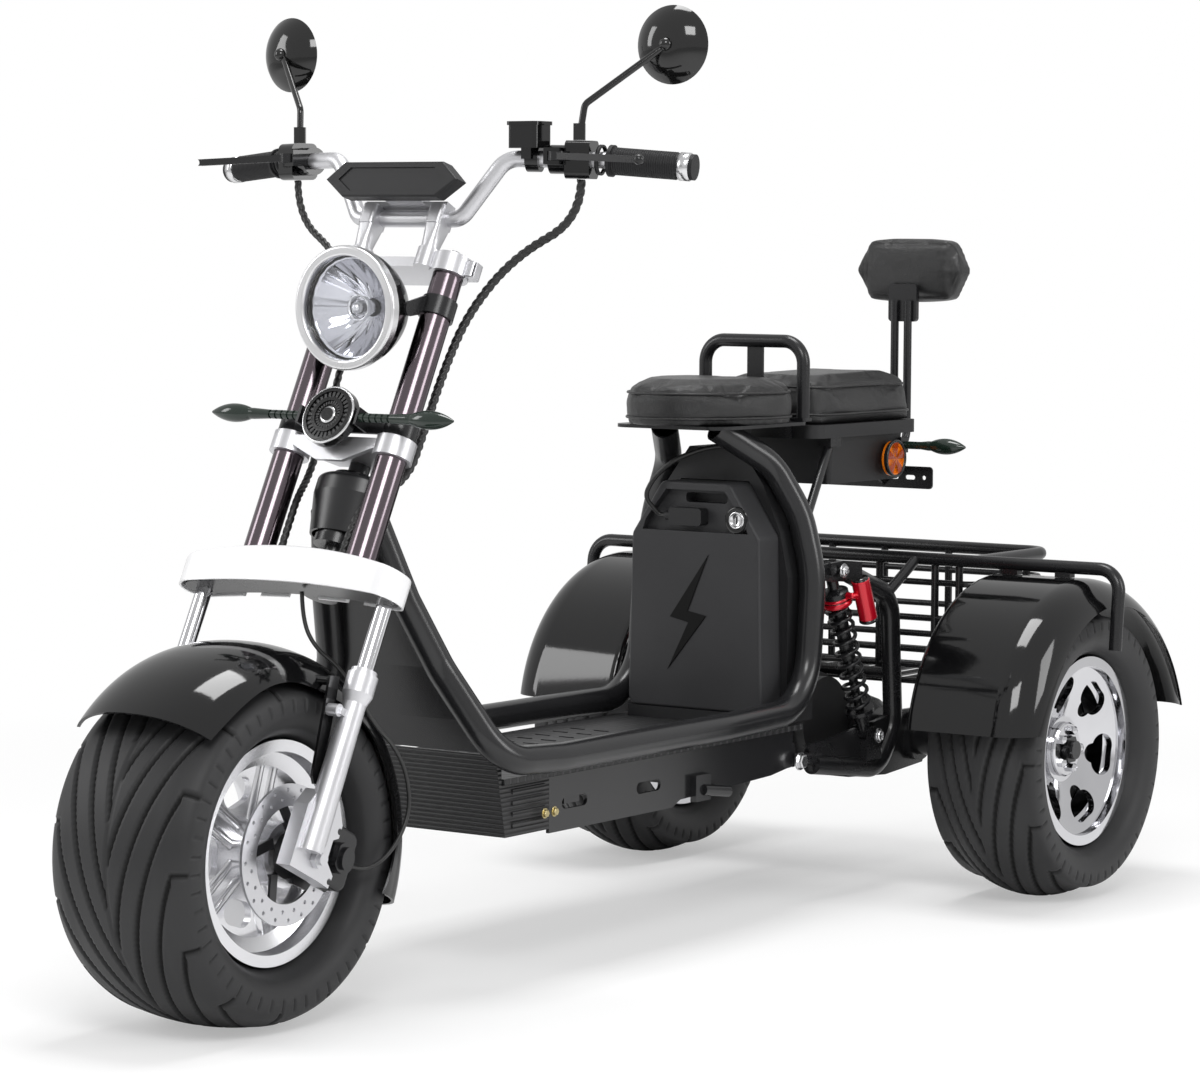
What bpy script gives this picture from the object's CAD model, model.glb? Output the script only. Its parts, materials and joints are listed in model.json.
# Looks of the electric tricycle: finishes for every CAD node, modelled tyres, padded seats, springs, lamp,
# looms and fittings, a plain studio and the camera. Lengths are in metres, apart from names that end in
# MM or mm and the arguments of steer() and rear(), which are millimetres.

import json
import logging
import math
from dataclasses import dataclass
from enum import Enum

import bmesh
import bpy
import numpy as np
from mathutils import Matrix, Vector

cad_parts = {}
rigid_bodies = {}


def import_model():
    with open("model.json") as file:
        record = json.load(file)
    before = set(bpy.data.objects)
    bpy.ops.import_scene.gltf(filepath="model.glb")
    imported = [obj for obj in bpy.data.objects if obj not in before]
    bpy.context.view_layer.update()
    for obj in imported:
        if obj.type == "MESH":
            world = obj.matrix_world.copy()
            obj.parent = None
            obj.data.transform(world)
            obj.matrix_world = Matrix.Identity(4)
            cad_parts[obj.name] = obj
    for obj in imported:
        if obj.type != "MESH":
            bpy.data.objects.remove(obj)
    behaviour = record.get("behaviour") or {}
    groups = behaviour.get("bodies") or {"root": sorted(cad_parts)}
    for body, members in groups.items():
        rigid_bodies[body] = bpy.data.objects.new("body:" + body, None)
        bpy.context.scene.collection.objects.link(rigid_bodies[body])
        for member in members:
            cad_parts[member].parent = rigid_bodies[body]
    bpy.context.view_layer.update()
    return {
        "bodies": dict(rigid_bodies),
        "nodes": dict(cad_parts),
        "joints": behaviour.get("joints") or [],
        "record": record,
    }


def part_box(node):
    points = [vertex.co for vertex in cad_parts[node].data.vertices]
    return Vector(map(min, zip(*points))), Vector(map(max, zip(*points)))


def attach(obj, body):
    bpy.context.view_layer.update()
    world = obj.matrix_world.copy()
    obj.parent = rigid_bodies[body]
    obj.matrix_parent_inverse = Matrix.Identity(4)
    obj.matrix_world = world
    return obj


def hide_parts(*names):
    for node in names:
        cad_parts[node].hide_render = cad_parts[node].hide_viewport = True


log = logging.getLogger("tricycle")

TYRE_R = 0.227
WHEELBASE = 1.5
TRACK_HALF = 0.364
FENDER_R = 0.310
FENDER_TAIL_DROP = 0.094
FENDER_REACH = math.sqrt(FENDER_R**2 - FENDER_TAIL_DROP**2)
FRONT_Y = -(TYRE_R + WHEELBASE + FENDER_REACH) / 2 + TYRE_R
REAR_Y = FRONT_Y + WHEELBASE
RAKE = math.radians(27)
HEAD = Vector((0, FRONT_Y + 0.272, 0.6936))
UP_AXIS = Vector((0, math.sin(RAKE), math.cos(RAKE)))
BACK_AXIS = Vector((0, math.cos(RAKE), -math.sin(RAKE)))
BAR_MM = Vector((0, -407.708, 1026.438))
BAR_BEND_MM = (140, 31, 79)
GRIP_START_MM = (266, 70, 77)
GRIP_END_MM = (382, 100, 68)
SHOCK_HEAD_MM = (-253, 504)
SHOCK_FOOT_MM = (-146, 244)
DISC_INNER_R = 0.0622
SIDES = (1, -1)
SIDE_NAMES = {1: "left", -1: "right"}
FULL_TURN = 2 * math.pi
MM_PER_M = 1000


def steer(x: float, back: float, up: float) -> Vector:
    """A point from millimetres across, rearwards and up the steering axis."""
    return HEAD + Vector((x, 0, 0)) / MM_PER_M + BACK_AXIS * (back / MM_PER_M) + UP_AXIS * (up / MM_PER_M)


def rear(x: float, back: float, z: float) -> Vector:
    """A point from millimetres measured back from the rear axle."""
    return Vector((x / MM_PER_M, REAR_Y + back / MM_PER_M, z / MM_PER_M))


def from_bar(side: int, spot_mm: tuple) -> Vector:
    """Millimetres out, back and up from the middle of the handlebar, on one side of it."""
    return BAR_MM + Vector((side * spot_mm[0], spot_mm[1], spot_mm[2]))


# ---------------------------------------------------------------- shader language
class Signal:
    """A shader socket that takes part in Python expressions."""

    def __init__(self, nodes: "Nodes", socket: bpy.types.NodeSocket) -> None:
        """Wraps one output socket of a node tree."""
        self.nodes = nodes
        self.socket = socket

    def maths(self, operation: str, *terms: "Signal | float") -> "Signal":
        """Adds one Math node, whose inputs are the terms in order."""
        return self.nodes.node("ShaderNodeMath", {"operation": operation}, dict(enumerate(terms)))

    def __add__(self, other: "Signal | float") -> "Signal":
        """Sum."""
        return self.maths("ADD", self, other)

    __radd__ = __add__

    def __sub__(self, other: "Signal | float") -> "Signal":
        """Difference."""
        return self.maths("SUBTRACT", self, other)

    def __rsub__(self, other: float) -> "Signal":
        """Difference from a number."""
        return self.maths("SUBTRACT", other, self)

    def __mul__(self, other: "Signal | float") -> "Signal":
        """Product."""
        return self.maths("MULTIPLY", self, other)

    __rmul__ = __mul__

    def __truediv__(self, other: "Signal | float") -> "Signal":
        """Quotient."""
        return self.maths("DIVIDE", self, other)

    def __pow__(self, power: float) -> "Signal":
        """Power of the size of the value."""
        return self.maths("POWER", self.maths("ABSOLUTE", self), power)

    def __gt__(self, other: "Signal | float") -> "Signal":
        """1 where greater."""
        return self.maths("GREATER_THAN", self, other)

    def clamp(self) -> "Signal":
        """The value held between 0 and 1."""
        return self.maths("MINIMUM", self.maths("MAXIMUM", self, 0.0), 1.0)

    def wave(self) -> "Signal":
        """Sine of the value, brought to 0..1."""
        return self.maths("SINE", self) * 0.5 + 0.5


class Grain(Enum):
    """How a finish's surface is broken up."""

    PAINT = "paint"
    MOULDED = "moulded"
    LEATHER = "leather"
    CAST = "cast"
    BRUSHED = "brushed"
    POLISHED = "polished"
    RUBBER = "rubber"
    RIBBED = "ribbed"
    MATTING = "matting"
    GLASS = "glass"
    FACETED = "faceted"
    FORGED = "forged"
    DRILLED = "drilled"


MIX_SHARE, MIX_LOW, MIX_HIGH, MIX_RESULT = 0, 6, 7, 2
EVEN = (1, 1, 1)
DRAWN_ALONG_X = (1, 8, 8)
BRUSH_MARKS = (500, 4, 0.03, DRAWN_ALONG_X)
# Noise scale, noise detail, depth in mm and stretch of the grains that are one noise.
RELIEFS = {
    Grain.PAINT: (260, 2, 0.02, EVEN),
    Grain.CAST: (900, 4, 0.07, EVEN),
    Grain.BRUSHED: BRUSH_MARKS,
    Grain.DRILLED: BRUSH_MARKS,
    Grain.POLISHED: (60, 2, 0.02, EVEN),
    Grain.RUBBER: (1300, 5, 0.08, EVEN),
    Grain.GLASS: (40, 2, 0.01, EVEN),
}


class Nodes:
    """A node tree that grows by Python expressions."""

    def __init__(self, tree: bpy.types.NodeTree) -> None:
        """Takes the tree to work in."""
        self.tree = tree

    def feed(self, socket: bpy.types.NodeSocket, value: Signal | float | tuple) -> None:
        """Links a signal to a socket, or sets the socket's own value.

        Args:
            socket: The input.
            value: A signal, number, colour or vector.
        """
        if isinstance(value, Signal):
            self.tree.links.new(value.socket, socket)
        else:
            socket.default_value = value

    def node(
        self, kind: str, settings: dict | None = None, inputs: dict | None = None, output: int | str = 0
    ) -> Signal:
        """Adds any node.

        Args:
            kind: The node's type.
            settings: Attributes, which are set first.
            inputs: Sockets by name or number, with numbers, colours or signals.
            output: Which output is returned.

        Returns:
            The chosen output.
        """
        made = self.tree.nodes.new(kind)
        for key, value in (settings or {}).items():
            setattr(made, key, value)
        for key, value in (inputs or {}).items():
            self.feed(made.inputs[key], value)
        return Signal(self, made.outputs[output])


class Shader(Nodes):
    """A node material under construction."""

    def __init__(self, name: str) -> None:
        """Starts a material with one Principled shader.

        Args:
            name: The material's name.
        """
        self.material = bpy.data.materials.new(name)
        self.material.use_nodes = True
        super().__init__(self.material.node_tree)
        self.surface = self.tree.nodes["Principled BSDF"]

    def place(self, stretch: tuple = EVEN) -> Signal:
        """Object coordinates, stretched along the axes."""
        spot = self.node("ShaderNodeTexCoord", output="Object")
        return self.node("ShaderNodeVectorMath", {"operation": "MULTIPLY"}, {0: spot, 1: stretch})

    def axis(self, letter: str) -> Signal:
        """One object coordinate in metres."""
        return self.node("ShaderNodeSeparateXYZ", inputs={0: self.place()}, output=letter)

    def noise(self, scale: float, detail: float = 3, stretch: tuple = EVEN) -> Signal:
        """Fractal noise between 0 and 1."""
        inputs = {"Vector": self.place(stretch), "Scale": scale, "Detail": detail}
        return self.node("ShaderNodeTexNoise", inputs=inputs)

    def cells(self, scale: float, feature: str = "DISTANCE_TO_EDGE") -> Signal:
        """Voronoi cells."""
        inputs = {"Vector": self.place(), "Scale": scale}
        return self.node("ShaderNodeTexVoronoi", {"feature": feature}, inputs)

    def blend(self, share: Signal, low: tuple | Signal, high: tuple | Signal) -> Signal:
        """Mixes two colours, from low where share is 0 to high where it is 1."""
        inputs = {MIX_SHARE: share, MIX_LOW: low, MIX_HIGH: high}
        return self.node("ShaderNodeMix", {"data_type": "RGBA"}, inputs, MIX_RESULT)

    def relief(self, height: Signal, depth_mm: float) -> None:
        """Feeds a height to the surface's normal."""
        inputs = {"Height": height, "Distance": depth_mm / MM_PER_M, "Strength": 1.0}
        self.set("Normal", self.node("ShaderNodeBump", inputs=inputs))

    def set(self, name: str, value: Signal | float | tuple) -> None:
        """Sets or links one input of the surface."""
        self.feed(self.surface.inputs[name], value)


def rgba(colour: tuple, gain: float = 1.0) -> tuple:
    """A colour with alpha, scaled."""
    return tuple(min(1.0, c * gain) for c in colour) + (1.0,)


@dataclass(frozen=True)
class Finish:
    """One finish of the tricycle."""

    name: str
    colour: tuple
    rough: float
    grain: Grain
    metal: float = 0.0
    coat: float = 0.0
    wear: float = 0.25
    glow: float = 0.0
    shine: float = 0.5

    def build(self) -> bpy.types.Material:
        """Builds the node material.

        Returns:
            The material, with grain, stains and roughness from its nodes.
        """
        s = Shader(self.name)
        s.set("Metallic", self.metal)
        s.set("Coat Weight", self.coat)
        s.set("Coat Roughness", 0.03)
        s.set("Specular IOR Level", self.shine)
        stain = s.noise(scale=9, detail=5)
        fine = s.noise(scale=420, detail=4)
        share = (stain * 1.6 - 0.45).clamp()
        clean, stained = 1 - 0.35 * self.wear, 1 + 0.5 * self.wear
        s.set("Base Color", s.blend(share, rgba(self.colour, clean), rgba(self.colour, stained)))
        uneven = (stain - 0.5) * 0.3 * self.wear
        s.set("Roughness", (self.rough + uneven + (fine - 0.5) * 0.12 * self.wear).clamp())
        self.texture(s, fine)
        if self.glow:
            s.set("Emission Color", rgba(self.colour))
            s.set("Emission Strength", self.glow)
        return s.material

    def texture(self, s: Shader, fine: Signal) -> None:
        """Adds the grain's relief and colours.

        Args:
            s: The material under construction.
            fine: Its finest noise.
        """
        if self.grain in RELIEFS:
            scale, detail, depth_mm, stretch = RELIEFS[self.grain]
            s.relief(s.noise(scale, detail, stretch), depth_mm)
        if self.grain is Grain.MOULDED:
            s.relief(s.noise(1900) * 0.6 + s.cells(1500) * 0.8, 0.09)
        elif self.grain is Grain.FORGED:
            s.relief(s.noise(30) * 0.5 + s.noise(700) * 0.3, 0.1)
        elif self.grain is Grain.FACETED:
            s.relief(s.cells(260, "F1"), 0.5)
        elif self.grain is Grain.GLASS:
            s.set("Transmission Weight", 1.0)
            s.set("IOR", 1.45)
        elif self.grain is Grain.LEATHER:
            pebble = (s.cells(620) * 3.0).clamp()
            s.relief(pebble * 0.8 + s.noise(70, 5) * 0.7, 0.22)
            s.set("Base Color", s.blend(pebble, rgba(self.colour, 0.45), rgba(self.colour, 1.15)))
        elif self.grain is Grain.RIBBED:
            rib_pitch = 0.0062
            ribs = (s.axis("Z") * (FULL_TURN / rib_pitch)).wave()
            s.relief(ribs + fine * 0.05, 1.4)
            s.set("Base Color", s.blend(ribs, rgba(self.colour, 0.3), rgba(self.colour, 1.4)))
        elif self.grain is Grain.MATTING:
            row_pitch, wave_pitch, swing = 0.017, 0.05, 2.6
            sway = (s.axis("X") * (FULL_TURN / wave_pitch)).wave() * swing
            weave = (s.axis("Y") * (FULL_TURN / row_pitch) + sway).wave()
            ridge = (weave * 3 - 1.7).clamp()
            s.relief(ridge + fine * 0.1, 0.9)
            s.set("Base Color", s.blend(ridge, rgba(self.colour, 0.75), rgba(self.colour, 1.7)))
        elif self.grain is Grain.DRILLED:
            back = s.axis("Y") - FRONT_Y
            up = s.axis("Z") - TYRE_R
            ring = ((back * back + up * up) ** 0.5) > DISC_INNER_R
            s.set("Base Color", s.blend(ring, (0.008, 0.008, 0.009, 1), rgba(self.colour)))
            s.set("Metallic", ring)


FINISH_LIST = (
    Finish("polished_rim", (0.74, 0.74, 0.76), 0.24, Grain.BRUSHED, metal=1.0, wear=0.2),
    Finish("chrome_rim", (0.62, 0.62, 0.64), 0.09, Grain.POLISHED, metal=1.0, wear=0.2),
    Finish("cast_silver", (0.63, 0.63, 0.65), 0.36, Grain.CAST, metal=0.85, wear=0.25),
    Finish("tube_chrome", (0.15, 0.125, 0.14), 0.16, Grain.POLISHED, metal=1.0, wear=0.2),
    Finish("stanchion_chrome", (0.66, 0.66, 0.68), 0.08, Grain.POLISHED, metal=1.0, wear=0.1),
    Finish("white_cover", (0.86, 0.86, 0.87), 0.3, Grain.PAINT, coat=0.5, wear=0.06),
    Finish("black_steel", (0.010, 0.010, 0.011), 0.27, Grain.PAINT, wear=0.3, shine=0.45),
    Finish("frame_grey", (0.012, 0.012, 0.013), 0.24, Grain.PAINT, wear=0.3, shine=0.5),
    Finish("gloss_black", (0.004, 0.004, 0.0043), 0.07, Grain.PAINT, wear=0.1, shine=0.5),
    Finish("matte_black", (0.013, 0.013, 0.014), 0.48, Grain.MOULDED, wear=0.3, shine=0.35),
    Finish("battery_grey", (0.034, 0.034, 0.036), 0.46, Grain.MOULDED, wear=0.3, shine=0.3),
    Finish("leather", (0.010, 0.010, 0.0105), 0.34, Grain.LEATHER, wear=0.3, shine=0.5),
    Finish("grip_rubber", (0.010, 0.010, 0.011), 0.5, Grain.RUBBER, wear=0.3, shine=0.3),
    Finish("cable_rubber", (0.012, 0.012, 0.012), 0.4, Grain.RUBBER, wear=0.2),
    Finish("lens", (0.97, 0.98, 1.0), 0.02, Grain.GLASS, wear=0.0),
    Finish("lamp_ring", (0.76, 0.76, 0.77), 0.28, Grain.BRUSHED, metal=1.0, wear=0.15),
    Finish("amber", (0.72, 0.17, 0.004), 0.16, Grain.FACETED, wear=0.2, glow=0.08),
    Finish("red_anodised", (0.62, 0.004, 0.02), 0.24, Grain.PAINT, metal=0.45, coat=0.6, wear=0.2),
    Finish("signal_black", (0.010, 0.020, 0.014), 0.12, Grain.PAINT, wear=0.2, shine=0.6),
    Finish("mirror_black", (0.005, 0.005, 0.005), 0.08, Grain.PAINT, wear=0.1, shine=0.6),
    Finish("motor_black", (0.018, 0.018, 0.019), 0.4, Grain.CAST, wear=0.3),
    Finish("tyre", (0.022, 0.022, 0.023), 0.55, Grain.RUBBER, wear=0.4),
    Finish("neck_hide", (0.010, 0.010, 0.011), 0.3, Grain.FORGED, wear=0.3, shine=0.5),
    Finish("floor_mat", (0.020, 0.020, 0.021), 0.42, Grain.MATTING, wear=0.3, shine=0.45),
    Finish("pan_ribs", (0.016, 0.016, 0.017), 0.4, Grain.RIBBED, wear=0.3, shine=0.4),
    Finish("bright_bolt", (0.7, 0.7, 0.71), 0.2, Grain.FORGED, metal=1.0, wear=0.3),
    Finish("reflector", (0.6, 0.6, 0.63), 0.06, Grain.POLISHED, metal=1.0, wear=0.05),
    Finish("mirror_glass", (0.8, 0.82, 0.84), 0.03, Grain.POLISHED, metal=1.0, wear=0.02),
    Finish("brass_bolt", (0.45, 0.38, 0.2), 0.3, Grain.FORGED, metal=1.0, wear=0.3),
    Finish("amber_deep", (0.30, 0.035, 0.001), 0.16, Grain.FACETED, wear=0.2),
    Finish("disc_two_tone", (0.58, 0.58, 0.6), 0.3, Grain.DRILLED, wear=0.3),
    Finish("emblem", (0.003, 0.003, 0.003), 0.5, Grain.PAINT, wear=0.1, shine=0.15),
    Finish("wheel_shade", (0.02, 0.02, 0.02), 0.35, Grain.PAINT, coat=0.3, wear=0.2),
)
FINISHES = {finish.name: finish for finish in FINISH_LIST}
# Nodes whose finish differs from that of their slot.
SPECIAL = {
    "neck_cover": "neck_hide",
    "floorboard": "floor_mat",
    "belly_pan": "pan_ribs",
    "brake_disc": "disc_two_tone",
}


class Palette:
    """Builds each finish once and gives it to nodes and pieces."""

    def __init__(self) -> None:
        """Starts with the tread's rubber, which no table holds."""
        self.made: dict[str, bpy.types.Material] = {"tread_rubber": tread_material()}

    def get(self, name: str) -> bpy.types.Material:
        """Gives the material of a finish, built at first use.

        Args:
            name: The finish's name.

        Returns:
            Its material.
        """
        if name not in self.made:
            self.made[name] = FINISHES[name].build()
        return self.made[name]

    def dress_frame(self, frame: dict) -> None:
        """Gives every CAD node the finish of its slot, or its own special one.
        """
        slots = {part["node"]: part["material_slot"] for part in frame["record"]["subparts"]}
        for name, node in frame["nodes"].items():
            finish = self.get(SPECIAL.get(name, slots[name]))
            if not node.data.materials:
                node.data.materials.append(finish)
            for place in node.material_slots:
                place.material = finish
            log.info("node %s in %s", name, finish.name)


# ---------------------------------------------------------------- pieces of mesh
def linked(name: str, data: bpy.types.ID) -> bpy.types.Object:
    """Makes an object and links it to the scene.

    Args:
        name: Its name.
        data: Its mesh, curve, camera or lamp.

    Returns:
        The object.
    """
    thing = bpy.data.objects.new(name, data)
    bpy.context.scene.collection.objects.link(thing)
    return thing


@dataclass
class Workshop:
    """Makes mesh pieces and puts them on their bodies."""

    palette: Palette
    count: int = 0

    def settle(self, piece: bpy.types.Object, body: str, finish: str, nodes: tuple = ()) -> None:
        """Dresses a piece and rides it on a body.

        Args:
            piece: The new object.
            body: The CAD body that it moves with.
            finish: Name of its finish.
            nodes: CAD nodes that it stands for.
        """
        piece.data.materials.clear()
        piece.data.materials.append(self.palette.get(finish))
        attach(piece, body)
        if nodes:
            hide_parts(*nodes)
        self.count += 1
        log.info("piece %s on %s", piece.name, body)

    @staticmethod
    def mesh(name: str, points: np.ndarray | list, faces: list, smooth: bool = True) -> bpy.types.Object:
        """Makes a mesh object.

        Args:
            name: Its name.
            points: Its vertices.
            faces: Its faces, as numbers of vertices.
            smooth: Whether its faces are shaded smooth.

        Returns:
            The object.
        """
        data = bpy.data.meshes.new(name)
        data.from_pydata([tuple(map(float, p)) for p in points], [], faces)
        data.validate()
        data.update()
        if smooth:
            data.shade_smooth()
        return linked(name, data)

    @staticmethod
    def tube(name: str, points: list, radius: float, closed: bool = False) -> bpy.types.Object:
        """Makes a round cord, as a smooth curve with a bevel.

        Args:
            name: Its name.
            points: Control points of its centre line.
            radius: Its radius.
            closed: Whether it is a loop.

        Returns:
            The object.
        """
        data = bpy.data.curves.new(name, "CURVE")
        data.dimensions = "3D"
        data.bevel_depth = radius
        data.bevel_resolution = 4
        data.use_fill_caps = True
        spline = data.splines.new("NURBS")
        spline.points.add(len(points) - 1)
        for knot, point in zip(spline.points, points):
            knot.co = (*point, 1)
        spline.order_u = 3
        spline.use_endpoint_u = not closed
        spline.use_cyclic_u = closed
        data.resolution_u = 6
        return linked(name, data)


def turned(profile: list, steps: int, frame: Matrix, capped: bool = True) -> tuple[list, list]:
    """Points and faces of a turned form.

    Args:
        profile: Pairs of distance along the axis and radius.
        steps: Steps around.
        frame: Matrix whose Z is the axis.
        capped: Whether both ends are closed.

    Returns:
        The points and the faces.
    """
    points = []
    for along, radius in profile:
        for step in range(steps):
            angle = FULL_TURN * step / steps
            points.append(frame @ Vector((radius * math.cos(angle), radius * math.sin(angle), along)))
    faces = []
    for ring in range(len(profile) - 1):
        for step in range(steps):
            a = ring * steps + step
            b = ring * steps + (step + 1) % steps
            faces.append((a, b, b + steps, a + steps))
    if capped:
        faces.append(tuple(reversed(range(steps))))
        faces.append(tuple((len(profile) - 1) * steps + step for step in range(steps)))
    return points, faces


def joined(shapes: list) -> tuple[list, list]:
    """Joins several shapes of points and faces.

    Args:
        shapes: Pairs of points and faces.

    Returns:
        All points and all faces as one shape.
    """
    points, faces = [], []
    for more, cells in shapes:
        first = len(points)
        points += list(more)
        faces += [tuple(first + n for n in cell) for cell in cells]
    return points, faces


def axis_frame(origin: Vector, direction: Vector) -> Matrix:
    """A matrix at origin whose Z points along direction."""
    return Matrix.Translation(origin) @ direction.normalized().to_track_quat("Z", "Y").to_matrix().to_4x4()


def lengths_along(line: np.ndarray) -> np.ndarray:
    """Distance run at each point of a line."""
    return np.concatenate([[0], np.cumsum(np.linalg.norm(np.diff(line, axis=0), axis=1))])


def evenly(line: np.ndarray, count: int) -> np.ndarray:
    """Divides a line evenly.

    Args:
        line: Its points, one row each.
        count: How many points it gets.

    Returns:
        The new points.
    """
    run = lengths_along(line)
    at = np.linspace(0, run[-1], count)
    return np.stack([np.interp(at, run, line[:, k]) for k in range(line.shape[1])], axis=1)


# ---------------------------------------------------------------- wheels
class Corner(Enum):
    """The three wheels, each with its body's name."""

    FRONT = "front_wheel"
    LEFT = "rear_wheel_left"
    RIGHT = "rear_wheel_right"


SIDE_WHEELS = {1: Corner.LEFT, -1: Corner.RIGHT}


def flowing(points: list, steps: int) -> np.ndarray:
    """A smooth line through points, evenly divided.

    Args:
        points: Rows of coordinates.
        steps: How many points the line gets.

    Returns:
        The line's points.
    """
    base = np.array(points, float)
    padded = np.vstack([2 * base[0] - base[1], base, 2 * base[-1] - base[-2]])
    rows = []
    for a, b, c, d in zip(padded, padded[1:], padded[2:], padded[3:]):
        for t in np.linspace(0, 1, 24, endpoint=False):
            square = (2 * a - 5 * b + 4 * c - d) * t * t
            cube = (3 * b - a - 3 * c + d) * t**3
            rows.append(0.5 * (2 * b + (c - a) * t + square + cube))
    rows.append(base[-1])
    return evenly(np.array(rows), steps)


@dataclass
class Tyre:
    """A wide road tyre with swept grooves cut into its crown."""

    corner: Corner
    node: str
    middle: float
    width: float
    rim_width: float
    flat: float
    drop: float
    around: int
    across: int
    pitches: int = 13
    sweep: float = 3.0
    groove: float = 0.0056
    depth: float = 0.0050
    lip_r: float = 0.146
    inside_r: float = 0.149

    def profile(self) -> np.ndarray:
        """Draws the section from bead to bead.

        Returns:
            Rows of distance from the middle and radius.
        """
        half = self.width / 2
        bead = self.rim_width / 2 - 0.0056
        shoulder, fall = half * self.flat, half * self.drop
        right = [(shoulder * k / 4, TYRE_R - 0.0004 - fall * (k / 4) ** 2) for k in range(5)]
        right += [(half * 0.955, TYRE_R - 0.024), (half - 0.0006, TYRE_R - 0.047)]
        right += [(half * 0.905, self.lip_r + 0.014), (bead, self.lip_r + 0.0005)]
        left = [(-x, r) for x, r in reversed(right[1:])]
        return flowing(left + right, self.across)

    def cut(self, angle: np.ndarray, reach: np.ndarray, side: np.ndarray) -> np.ndarray:
        """Depth of the tread's grooves.

        Args:
            angle: Angle round the wheel.
            reach: Distance along the surface from the crown's middle.
            side: Which side of the middle.

        Returns:
            Share of the full depth at each point.
        """
        turn_at = self.width * 0.42
        edge, centre_half, nick_half, fade = 0.0009, 0.0016, 0.0022, 0.0012
        share = np.minimum(reach, turn_at) / turn_at
        bend = self.sweep * share**0.9
        phase = self.pitches * angle / FULL_TURN - bend + np.where(side > 0, 0.0, 0.5)
        off = np.abs(phase - np.round(phase))
        around = self.pitches / (FULL_TURN * TYRE_R)
        slope = np.where(reach < turn_at, self.sweep * 0.9 * np.maximum(share, 0.02) ** -0.1 / turn_at, 0.0)
        gap = off / np.sqrt(around**2 + slope**2)
        long_groove = np.clip((self.groove / 2 + edge - gap) / (2 * edge), 0, 1)
        long_groove *= (reach > 0.002) & (reach < self.width * 0.52)
        middle = np.clip((centre_half - reach) / fade, 0, 1) * 0.8
        nick = np.abs(phase * 4 - np.round(phase * 4)) / (around * 4)
        nicks = np.clip((nick_half - nick) / fade, 0, 1) * 0.45
        nicks *= (reach > self.width * 0.53) & (reach < self.width * 0.6)
        return np.maximum(np.maximum(long_groove, middle), nicks)

    def build(self, shop: Workshop) -> None:
        """Lathes the section, cuts the grooves and marks them for the rubber's colour.

        Args:
            shop: Makes and places the piece.
        """
        section = self.profile()
        run = lengths_along(section)
        reach = np.abs(run - run[-1] / 2)
        way = np.gradient(section, axis=0)
        normal = np.stack([-way[:, 1], way[:, 0]], axis=1)
        normal /= np.linalg.norm(normal, axis=1)[:, None]
        angle = np.linspace(0, FULL_TURN, self.around, endpoint=False)[:, None]
        deep = self.cut(angle, reach[None, :], np.sign(section[:, 0])[None, :])
        x = section[None, :, 0] - normal[None, :, 0] * deep * self.depth
        r = section[None, :, 1] - normal[None, :, 1] * deep * self.depth
        bead = section[-1, 0] - 0.004
        x = np.hstack([x, np.full((self.around, 1), bead), np.full((self.around, 1), -bead)])
        r = np.hstack([r, np.full((self.around, 2), self.inside_r)])
        axle_y = FRONT_Y if self.corner is Corner.FRONT else REAR_Y
        spots = [x + self.middle, axle_y - r * np.cos(angle), TYRE_R + r * np.sin(angle)]
        points = np.stack(spots, axis=2).reshape(-1, 3)
        rows = self.across + 2
        ring = np.arange(self.around)[:, None] * rows
        after = np.roll(ring, -1, axis=0)
        col = np.arange(rows)[None, :]
        col_after = np.roll(col, -1, axis=1)
        corners = [ring + col, after + col, after + col_after, ring + col_after]
        faces = np.stack(corners, axis=2).reshape(-1, 4)
        piece = shop.mesh(self.node + "_tread", points, faces.tolist())
        shade = piece.data.attributes.new("groove", "FLOAT", "POINT")
        marks = np.hstack([deep, np.zeros((self.around, 2))]).astype(np.float32)
        shade.data.foreach_set("value", marks.ravel())
        shop.settle(piece, self.corner.value, "tread_rubber", (self.node,))


def tread_material() -> bpy.types.Material:
    """Mixes the tyre rubber, which is darker and duller in the grooves.

    Returns:
        The material.
    """
    s = Shader("tread_rubber")
    groove = s.node("ShaderNodeAttribute", {"attribute_name": "groove"}, output="Fac")
    dust = s.noise(scale=14, detail=5)
    fine = s.noise(scale=1500, detail=4)
    land = s.blend(dust, (0.017, 0.017, 0.018, 1), (0.032, 0.032, 0.033, 1))
    s.set("Base Color", s.blend(groove.clamp(), land, (0.004, 0.004, 0.004, 1)))
    s.set("Roughness", (0.5 + (dust - 0.5) * 0.2 + groove * 0.3).clamp())
    s.set("Specular IOR Level", 0.32)
    s.relief(fine + s.noise(240) * 0.7, 0.12)
    return s.material


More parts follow.
